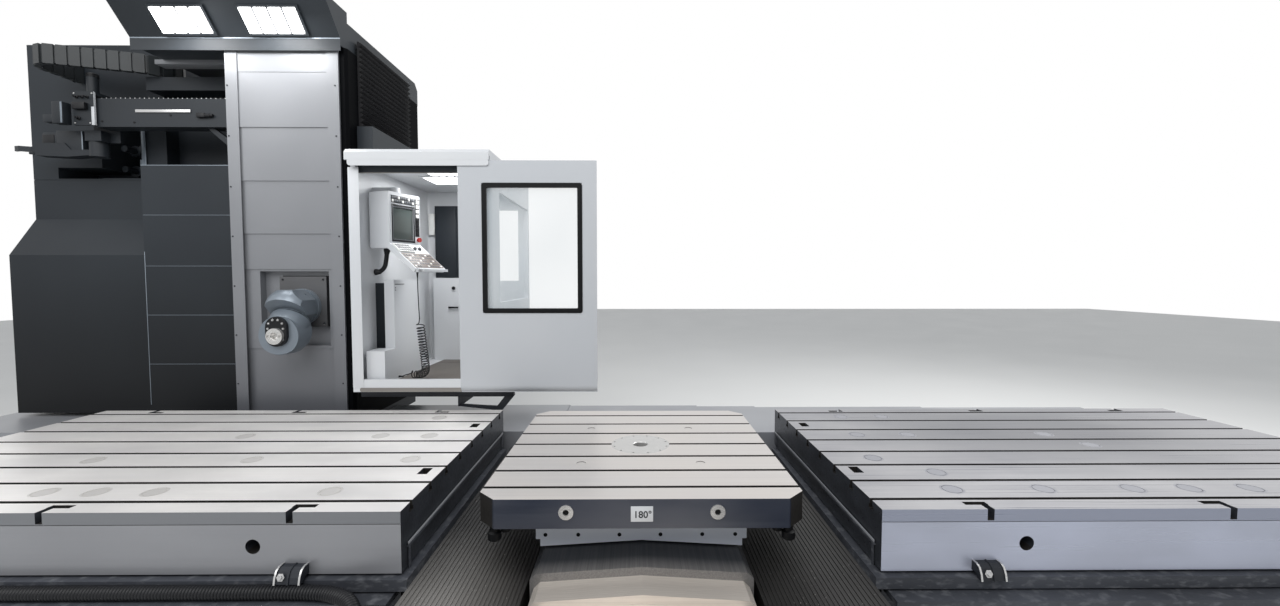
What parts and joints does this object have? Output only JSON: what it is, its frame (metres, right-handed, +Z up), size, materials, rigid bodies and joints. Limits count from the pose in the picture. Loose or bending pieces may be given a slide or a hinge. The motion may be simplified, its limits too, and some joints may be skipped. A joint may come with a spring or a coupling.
{
  "type": "cnc machining center",
  "caption": "Travelling-column milling machine with a long covered bed, T-slotted floor plates, a rotary table on a slide, a ram with an elbow head, an operator cabin and a tool changer.",
  "frame": {"origin": "on the pit floor, below the rotary table's axis", "axes": "+X along the bed to the right, +Y from the viewer to the column, +Z up"},
  "size_m": [11.6, 5.13, 4.447],
  "materials": {
    "ground_iron": "ground",
    "machined_steel": "brushed",
    "dark_casting": "satin",
    "dark_paint": "satin",
    "cover_grey": "satin",
    "slide_black": "satin",
    "cabin_white": "satin",
    "belt_rubber": "matte",
    "black_plastic": "matte",
    "red_plastic": "gloss",
    "lamp_glass": "clear",
    "window_glass": "clear"
  },
  "bodies": {
    "bed": {"x_bed": "dark_casting", "bed_end_covers": "cover_grey", "slide_bed": "dark_casting", "slide_end_covers": "slide_black", "left_floor_plate": "ground_iron", "right_floor_plate": "ground_iron", "plate_plinths": "dark_casting", "clamp_brackets": "dark_casting", "trough_covers": "belt_rubber", "anchor_caps": "ground_iron", "cable_conduit": "belt_rubber"},
    "column": {"column": "dark_casting", "column_frame": "cover_grey", "column_sides": "dark_paint", "column_bed_covers": "cover_grey", "front_covers_fixed": "cover_grey", "hood": "dark_paint", "work_lamps": "lamp_glass", "left_cladding": "dark_paint", "magazine_housing": "dark_paint", "changer_beam": "dark_paint", "energy_chain": "black_plastic", "side_bellows": "belt_rubber"},
    "right_cover_2": {"right_cover_2": "cover_grey"},
    "right_cover_3": {"right_cover_3": "cover_grey"},
    "right_cover_4": {"right_cover_4": "cover_grey"},
    "left_cover_2": {"left_cover_2": "cover_grey"},
    "left_cover_3": {"left_cover_3": "cover_grey"},
    "head": {"head_carriage": "dark_casting", "head_apron": "cover_grey", "head_covers": "cover_grey"},
    "upper_cover_1": {"upper_cover_1": "cover_grey"},
    "upper_cover_2": {"upper_cover_2": "cover_grey"},
    "lower_cover_2": {"lower_cover_2": "cover_grey"},
    "ram": {"ram": "ground_iron"},
    "swivel": {"head_swivel": "dark_casting"},
    "tilt": {"head_tilt": "dark_casting"},
    "spindle": {"spindle_nose": "machined_steel"},
    "changer": {"changer_carriage": "dark_paint"},
    "arm": {"changer_arm": "dark_paint"},
    "cabin": {"cabin_carriage": "cabin_white", "cabin_base": "cabin_white", "cabin_shell": "cabin_white", "door_rails": "machined_steel", "panel_arm": "cabin_white", "console_cabinet": "cabin_white", "dark_cabinets": "dark_paint", "curly_cord": "belt_rubber"},
    "door": {"cabin_door": "cabin_white", "door_glass": "window_glass"},
    "panel": {"control_panel": "cabin_white"},
    "stop_button": {"emergency_stop": "red_plastic"},
    "table_slide": {"table_saddle": "dark_casting", "saddle_covers": "slide_black"},
    "table": {"rotary_table": "ground_iron", "table_disc": "machined_steel", "ring_plugs": "machined_steel"},
    "slide_cover_2": {"slide_cover_2": "slide_black"},
    "slide_cover_3": {"slide_cover_3": "slide_black"},
    "rear_cover_2": {"rear_cover_2": "slide_black"}
  },
  "joints": [
    {"name": "column_travel", "type": "slide", "parent": "bed", "child": "column", "axis": [1, 0, 0], "range_m": [0, 5.55]},
    {"name": "right_cover_2_travel", "type": "slide", "parent": "bed", "child": "right_cover_2", "axis": [1, 0, 0], "range_m": [0, 4.2]},
    {"name": "right_cover_3_travel", "type": "slide", "parent": "bed", "child": "right_cover_3", "axis": [1, 0, 0], "range_m": [0, 3.6]},
    {"name": "right_cover_4_travel", "type": "slide", "parent": "bed", "child": "right_cover_4", "axis": [1, 0, 0], "range_m": [0, 1.8]},
    {"name": "left_cover_2_travel", "type": "slide", "parent": "bed", "child": "left_cover_2", "axis": [1, 0, 0], "range_m": [0, 3.7]},
    {"name": "left_cover_3_travel", "type": "slide", "parent": "bed", "child": "left_cover_3", "axis": [1, 0, 0], "range_m": [0, 1.83]},
    {"name": "head_travel", "type": "slide", "parent": "column", "child": "head", "axis": [0, 0, 1], "range_m": [0, 1.25]},
    {"name": "upper_cover_1_travel", "type": "slide", "parent": "column", "child": "upper_cover_1", "axis": [0, 0, 1], "range_m": [0, 0.44]},
    {"name": "upper_cover_2_travel", "type": "slide", "parent": "column", "child": "upper_cover_2", "axis": [0, 0, 1], "range_m": [0, 0.94]},
    {"name": "lower_cover_2_travel", "type": "slide", "parent": "column", "child": "lower_cover_2", "axis": [0, 0, 1], "range_m": [0, 0.56]},
    {"name": "ram_travel", "type": "slide", "parent": "head", "child": "ram", "axis": [0, -1, 0], "range_m": [0, 0.8]},
    {"name": "head_swivel_turn", "type": "hinge", "parent": "ram", "child": "swivel", "pos_m": [-3.184, 1.237, 1.712], "axis": [0, -1, 0], "range_deg": [-180, 180]},
    {"name": "head_tilt_turn", "type": "hinge", "parent": "swivel", "child": "tilt", "pos_m": [-3.184, 1.237, 1.712], "axis": [0, -0.7071, -0.7071], "range_deg": [0, 180]},
    {"name": "spindle_turn", "type": "hinge", "parent": "tilt", "child": "spindle", "pos_m": [-3.184, 0.9, 1.47], "axis": [0, -1, 0], "continuous": true},
    {"name": "changer_travel", "type": "slide", "parent": "column", "child": "changer", "axis": [1, 0, 0], "range_m": [0, 0.7]},
    {"name": "changer_arm_turn", "type": "hinge", "parent": "changer", "child": "arm", "pos_m": [-5.39, 1.64, 3.25], "axis": [0, 0, 1], "range_deg": [0, 80]},
    {"name": "cabin_lift", "type": "slide", "parent": "column", "child": "cabin", "axis": [0, 0, 1], "range_m": [0, 0.6], "deforming": ["side_bellows"]},
    {"name": "door_travel", "type": "slide", "parent": "cabin", "child": "door", "axis": [-1, 0, 0], "range_m": [0, 0.945]},
    {"name": "panel_swivel", "type": "hinge", "parent": "cabin", "child": "panel", "pos_m": [-2.30738, 1.31016, 2.501], "axis": [0, 0, 1], "range_deg": [-5, 25]},
    {"name": "stop_press", "type": "slide", "parent": "panel", "child": "stop_button", "axis": [-0.9397, 0.342, 0], "range_m": [0, 0.006], "stiffness_N_per_m": 600},
    {"name": "table_travel", "type": "slide", "parent": "bed", "child": "table_slide", "axis": [0, -1, 0], "range_m": [0, 1.1]},
    {"name": "table_turn", "type": "hinge", "parent": "table_slide", "child": "table", "pos_m": [0, 0, 0.6], "axis": [0, 0, 1], "continuous": true},
    {"name": "slide_cover_2_travel", "type": "slide", "parent": "bed", "child": "slide_cover_2", "axis": [0, -1, 0], "range_m": [0, 0.97]},
    {"name": "slide_cover_3_travel", "type": "slide", "parent": "bed", "child": "slide_cover_3", "axis": [0, -1, 0], "range_m": [0, 0.43]},
    {"name": "rear_cover_2_travel", "type": "slide", "parent": "bed", "child": "rear_cover_2", "axis": [0, -1, 0], "range_m": [0, 0.56]}
  ],
  "couplings": [
    {"joint": "right_cover_2_travel", "follows": "column_travel", "ratio": 0.754},
    {"joint": "right_cover_3_travel", "follows": "column_travel", "ratio": 0.646},
    {"joint": "right_cover_4_travel", "follows": "column_travel", "ratio": 0.323},
    {"joint": "left_cover_2_travel", "follows": "column_travel", "ratio": 0.664},
    {"joint": "left_cover_3_travel", "follows": "column_travel", "ratio": 0.3285},
    {"joint": "upper_cover_1_travel", "follows": "head_travel", "ratio": 0.35},
    {"joint": "upper_cover_2_travel", "follows": "head_travel", "ratio": 0.75},
    {"joint": "lower_cover_2_travel", "follows": "head_travel", "ratio": 0.447},
    {"joint": "slide_cover_2_travel", "follows": "table_travel", "ratio": 0.881},
    {"joint": "slide_cover_3_travel", "follows": "table_travel", "ratio": 0.382},
    {"joint": "rear_cover_2_travel", "follows": "table_travel", "ratio": 0.505}
  ]
}
